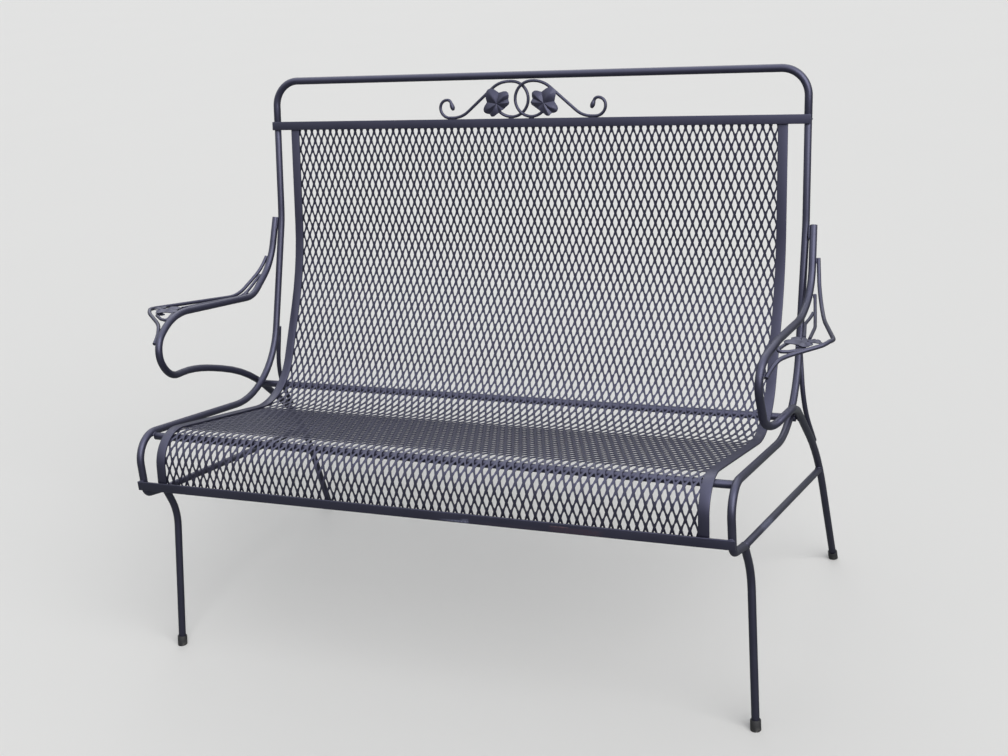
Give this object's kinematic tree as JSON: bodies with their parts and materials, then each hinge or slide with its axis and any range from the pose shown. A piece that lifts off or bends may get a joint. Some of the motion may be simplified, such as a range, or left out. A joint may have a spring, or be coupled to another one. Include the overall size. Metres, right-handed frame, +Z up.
{
  "type": "patio settee",
  "caption": "Metal garden settee with a one-piece sling of expanded mesh on a bent round-bar frame, looped arms with vine and leaf ornaments, and a scrolled crest under a back hoop.",
  "frame": {"origin": "centre of the bounding box at ground level, under the feet", "axes": "+X to the viewer's right, +Y from the front of the seat to the back, +Z up"},
  "size_m": [1.167, 0.6008, 0.8721],
  "materials": {
    "frame_paint": "satin black paint over round steel bar",
    "flat_paint": "satin black paint over flat steel bar",
    "mesh_paint": "satin black paint over expanded steel sheet",
    "ornament_paint": "satin black paint over thin round rod",
    "leaf_paint": "satin black paint over stamped sheet leaves",
    "glide_plastic": "matte black moulded plastic"
  },
  "bodies": {
    "root": {"back_hoop": "frame_paint", "front_crossbar": "frame_paint", "rear_crossbar": "frame_paint", "top_flat_bar": "flat_paint", "front_flat_bar": "flat_paint", "sling_mesh": "mesh_paint", "side_rail_left": "frame_paint", "side_rail_right": "frame_paint", "arm_rear_leg_left": "frame_paint", "arm_rear_leg_right": "frame_paint", "rear_brace_left": "frame_paint", "rear_brace_right": "frame_paint", "side_stretcher_left": "frame_paint", "side_stretcher_right": "frame_paint", "mesh_strap_left": "flat_paint", "mesh_strap_right": "flat_paint", "crest_scroll_left": "ornament_paint", "crest_scroll_right": "ornament_paint", "crest_leaf_left": "leaf_paint", "crest_leaf_right": "leaf_paint", "arm_vine_left": "ornament_paint", "arm_vine_right": "ornament_paint", "arm_stem_left": "ornament_paint", "arm_stem_right": "ornament_paint", "arm_twig_left": "ornament_paint", "arm_twig_right": "ornament_paint", "arm_scroll_left": "ornament_paint", "arm_scroll_right": "ornament_paint", "arm_leaf_left": "leaf_paint", "arm_leaf_right": "leaf_paint", "arm_bud_left": "leaf_paint", "arm_bud_right": "leaf_paint", "foot_glide_front_left": "glide_plastic", "foot_glide_front_right": "glide_plastic", "foot_glide_rear_left": "glide_plastic", "foot_glide_rear_right": "glide_plastic"}
  },
  "joints": []
}
